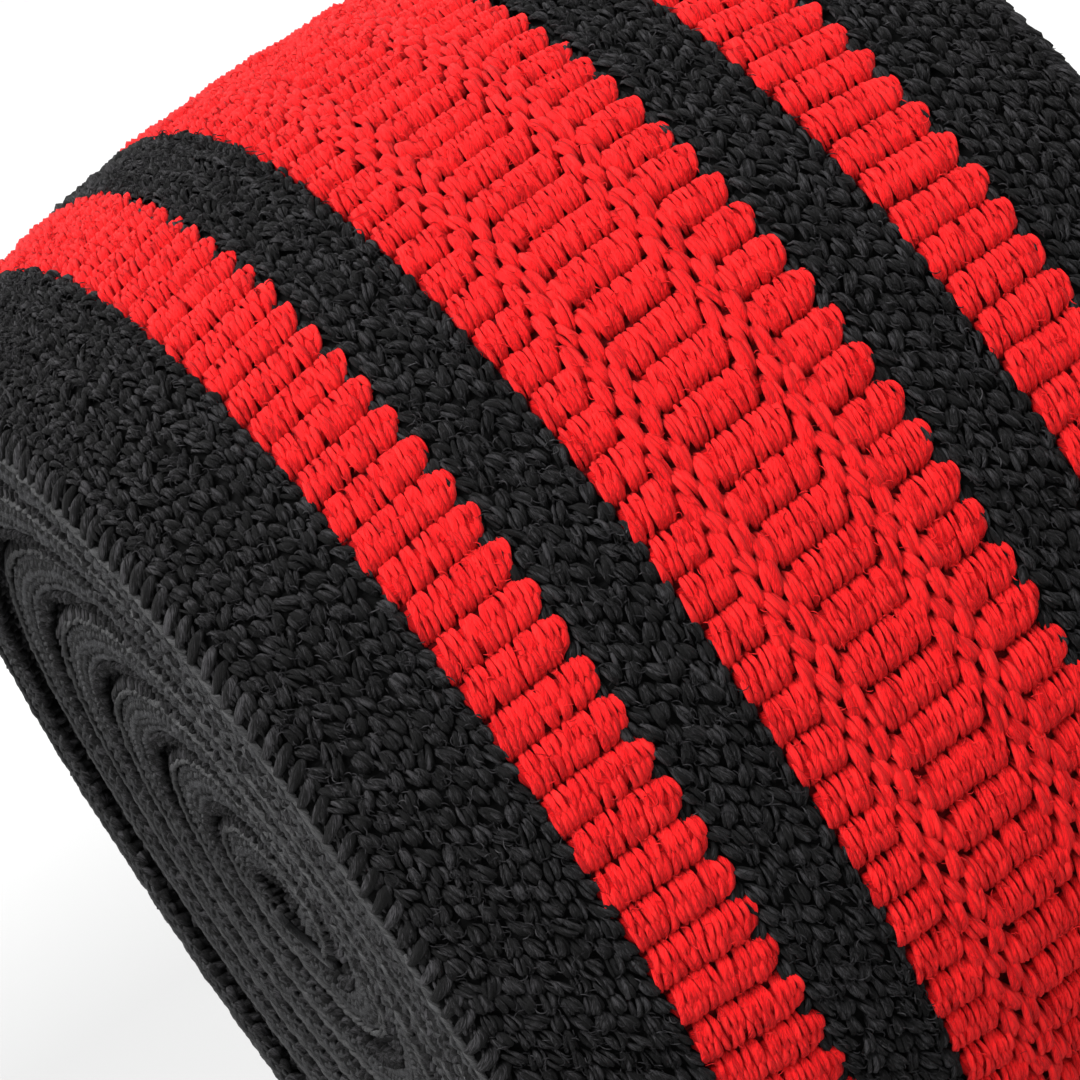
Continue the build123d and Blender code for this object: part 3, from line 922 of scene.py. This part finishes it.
def hooks(start, end):
    """Rows of small stiff hooks under the closure strap."""
    a, b = (float(np.interp(t, TURNS, STRAP_LENGTHS)) for t in (start, end))
    x, s = (v.ravel() for v in np.meshgrid(np.arange(-18.4, 18.5, 1.15), np.arange(a + 0.8, b - 0.6, 1.25)))
    x = x + spread(len(x), 0.08)
    u = np.linspace(0, 1, 7)
    bend = np.clip((u - 0.35) / 0.65, 0, 1) * 3.6
    along = s[:, None] + 0.22 * (1 - np.cos(bend)) * np.sign(spread((len(x), 1), 1.0))
    height = -0.5 - np.minimum(u / 0.35, 1) * 0.45 - 0.22 * np.sin(bend)
    paths = np.stack([x[:, None] + 0 * along, along, height + 0 * along], axis=-1)
    size = np.full(along.shape, 0.09)
    return tubes(paths, size, size, 5, strap_face)


def strap_pieces():
    strap_start = TAIL_END - 0.006
    strap = tape(
        "closure_webbing", STRAP_HALF, strap_start, STRAP_END, strap_radius, STRAP_THICKNESS, weave, WEBBING)
    ends = [
        Vector(place(0.0, t, strap_radius(t) + 0.6) * MM)
        for t in (STRAP_START - 0.004, STRAP_START + 0.006)]
    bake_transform(strap)
    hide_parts("closure_strap")
    back = tape("closure_hook_base", STRAP_HALF - 1.2, HOOK_START, STRAP_END - 0.008,
                lambda t: strap_radius(t) - 0.62, 0.6, lambda x, s: weave(x, s, 1.2, 0.12), HOOKS)
    settle(back, "closure", "hook_tape", "closure_hook_tape")
    points, faces, yarn = hooks(HOOK_START, STRAP_END - 0.008)
    settle(make_mesh("closure_hooks", points, faces, yarn, [HOOKS]), "closure", "hook_tape")
    rows = [
        stitch_row(float(np.interp(t, TURNS, STRAP_LENGTHS)), STRAP_THICKNESS + 0.1, 18.5, strap_face)
        for t in (HOOK_START + 0.006, STRAP_END - 0.012)]
    points, faces, yarn = joined(rows)
    settle(make_mesh("closure_stitching", points, faces, yarn, [THREAD]), "closure", "sewing_thread",
           "closure_stitches")


def binding_pieces():
    settle(binding("end_binding"), "loose_end", "binding_tape", "tail_end_binding")
    end = length_at(TAIL_END)
    rows = []
    for inset in (2.0, 6.0):
        rows.append(stitch_row(end - inset, 0.95, 23.5, outer_face))
        rows.append(stitch_row(end - inset, 0.95, 23.5, inner_face))
    points, faces, yarn = joined(rows)
    stitches = make_mesh("binding_stitching", points, faces, yarn, [THREAD])
    settle(stitches, "loose_end", "sewing_thread", "tail_binding_stitches")


# ---- the inner end: overlock thread and thumb loop ----
def overlock():
    """Thread that wraps over the band's inner end, a loop beside a loop."""
    end = length_at(CORE_END)
    x = np.arange(-22.6, 22.7, 0.95)
    angle = np.linspace(-0.25 * math.pi, 1.25 * math.pi, 13)
    depth = THICKNESS / 2 - 0.35
    along = end + 0.9 - 1.5 * np.maximum(np.sin(angle), 0)
    height = -THICKNESS / 2 + (depth + 0.25) * np.cos(angle)
    slant = 0.45 * np.cos(angle)
    paths = np.stack(np.broadcast_arrays(
        x[:, None] + slant + spread((len(x), 1), 0.05), along[None, :], height[None, :]), axis=-1)
    size = np.full(paths.shape[:2], 0.24)
    points, faces, yarn = tubes(paths, size, size, 7, outer_face)
    piece = make_mesh("core_end_thread", points, faces, yarn, [THREAD])
    settle(piece, "roll", "sewing_thread", "core_end_overlock")


def thumb_loop():
    """A flat braided elastic, bent back on itself, lying beside the heart of the roll."""
    low, high = (np.array(corner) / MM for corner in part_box("thumb_loop"))
    centre, size = (low + high) / 2, high - low
    tape_half = 0.3
    radius = size[1] / 2 - tape_half - 0.06
    straight = (size[0] - size[1]) / 2
    total = 4 * straight + 2 * math.pi * radius
    p = np.linspace(0, total, 420, endpoint=False)
    x, y, nx, ny = (np.zeros_like(p) for _ in range(4))
    for i, d in enumerate(p):
        if d < 2 * straight:
            x[i], y[i], nx[i], ny[i] = d - straight, -radius, 0, -1
        elif d < 2 * straight + math.pi * radius:
            a = (d - 2 * straight) / radius - math.pi / 2
            nx[i], ny[i] = math.cos(a), math.sin(a)
            x[i], y[i] = straight + radius * nx[i], radius * ny[i]
        elif d < 4 * straight + math.pi * radius:
            x[i], y[i], nx[i], ny[i] = 3 * straight + math.pi * radius - d, radius, 0, 1
        else:
            a = (d - 4 * straight - math.pi * radius) / radius + math.pi / 2
            nx[i], ny[i] = math.cos(a), math.sin(a)
            x[i], y[i] = -straight + radius * nx[i], radius * ny[i]
    across = np.linspace(-1, 1, 17)
    z = np.concatenate([across, across[::-1]]) * (size[2] / 2 - 0.1)
    side = np.concatenate([np.ones(17), -np.ones(17)])
    braid = 0.09 * np.abs(np.sin(math.pi * (p[:, None] / 0.8 + side[None, :] * z[None, :] / 0.8)))
    round_edge = 1 - 0.55 * np.abs(z / (size[2] / 2)) ** 8
    off = side[None, :] * (tape_half - 0.06) * round_edge[None, :] + side[None, :] * braid
    points = np.stack([
        centre[0] + x[:, None] + nx[:, None] * off, centre[1] + y[:, None] + ny[:, None] * off,
        centre[2] + z[None, :] + 0 * off], axis=-1)
    columns = len(z)
    quads = grid(len(p), columns, closed=True)
    last = (len(p) - 1) * columns
    j = np.arange(columns)
    k = (j + 1) % columns
    seam = np.stack([last + j, j, k, last + k], axis=-1)
    yarn = np.stack(np.broadcast_arrays(z[None, :], p[:, None], 0.2 * np.sin(np.floor(z))[None, :]), axis=-1)
    points, yarn = points.reshape(-1, 3), yarn.reshape(-1, 3)
    loop = make_mesh("thumb_loop_elastic", points, [quads, seam], yarn, [ELASTIC])
    settle(loop, "roll", "loop_elastic", "thumb_loop")


def bartack():
    """Close zigzag stitches that hold the thumb loop."""
    low, high = (np.array(corner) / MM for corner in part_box("thumb_loop_bartack"))
    count, u = 11, np.linspace(-1, 1, 9)
    x = np.linspace(low[0] + 0.2, high[0] - 0.2, count)[:, None]
    zigzag = 0.13 * np.where(np.arange(count) % 2 == 0, 1, -1)[:, None]
    y = (low[1] + high[1]) / 2 - 0.05 + 0.16 * (1 - u**6)
    z = (low[2] + high[2]) / 2 + u * (high[2] - low[2]) / 2 * 0.92
    paths = np.stack(np.broadcast_arrays(x + zigzag * u, y[None, :], z[None, :]), axis=-1)
    size = np.full(paths.shape[:2], 0.15)
    points, faces, yarn = tubes(paths, size, size, 7, lambda q: q)
    settle(make_mesh("thumb_loop_stitching", points, faces, yarn, [THREAD]), "roll", "sewing_thread",
           "thumb_loop_bartack")


binding_pieces()
strap_pieces()
overlock()
thumb_loop()
bartack()

BAND_LENGTH = float(length_at(TAIL_END))


# ---- camera, light and floor ----
camera_data = bpy.data.cameras.new("camera")
camera = bpy.data.objects.new("camera", camera_data)
bpy.context.scene.collection.objects.link(camera)
bpy.context.scene.camera = camera
camera_data.lens, camera_data.sensor_width = 178.8, 36.0
CAMERA_AT, CAMERA_AIM, CAMERA_ROLL = Vector((-56.1, -263.4, 80.03)), Vector((-1.31, 1.30, 41.97)), 33.23
camera.location = CAMERA_AT * MM
aim = (CAMERA_AIM - CAMERA_AT).to_track_quat("-Z", "Y")
camera.rotation_mode = "QUATERNION"
camera.rotation_quaternion = aim @ Matrix.Rotation(-math.radians(CAMERA_ROLL), 3, "Z").to_quaternion()
camera_data.clip_start, camera_data.clip_end = 0.01, 20

bpy.context.scene.view_settings.view_transform = "Standard"


def area_light(name, at, size, power):
    data = bpy.data.lights.new(name, "AREA")
    data.energy, data.size = power, size
    obj = bpy.data.objects.new(name, data)
    obj.location = at
    obj.rotation_euler = (Vector((0, 0, 0.035)) - Vector(at)).to_track_quat("-Z", "Y").to_euler()
    bpy.context.scene.collection.objects.link(obj)


area_light("key", (-0.35, -0.35, 0.75), 0.5, 11.5)
area_light("fill", (0.6, -0.5, 0.35), 0.7, 3.0)
area_light("back", (0.1, 0.7, 0.5), 0.8, 3.0)

world = bpy.data.worlds.new("studio")
world.use_nodes = True
world.node_tree.nodes["Background"].inputs["Color"].default_value = (1, 1, 1, 1)
world.node_tree.nodes["Background"].inputs["Strength"].default_value = 1.05
bpy.context.scene.world = world

floor_mesh = bpy.data.meshes.new("floor")
reach = 40.0
floor_mesh.from_pydata(
    [(-reach, -reach, 0), (reach, -reach, 0), (reach, reach, 0), (-reach, reach, 0)], [], [(0, 1, 2, 3)])
floor = bpy.data.objects.new("floor", floor_mesh)
bpy.context.scene.collection.objects.link(floor)
paper = bpy.data.materials.new("paper")
paper.use_nodes = True
sheet = paper.node_tree
spot = node(sheet, "ShaderNodeTexCoord", -900, 0)
away = node(sheet, "ShaderNodeVectorMath", -700, 0, operation="LENGTH")
sheet.links.new(spot.outputs["Object"], away.inputs[0])
# Painted shadow: the floor is dark grey within 0.2 m of the roll and grows to near white 1 m away.
painted_shadow_ramp = ramp(sheet, -450, 0, away.outputs["Value"], [(0.2, (0.35, 0.35, 0.35)), (1.0, (0.98, 0.98, 0.98))])
sheet.links.new(painted_shadow_ramp, sheet.nodes["Principled BSDF"].inputs["Base Color"])
sheet.nodes["Principled BSDF"].inputs["Roughness"].default_value = 0.9
floor_mesh.materials.append(paper)
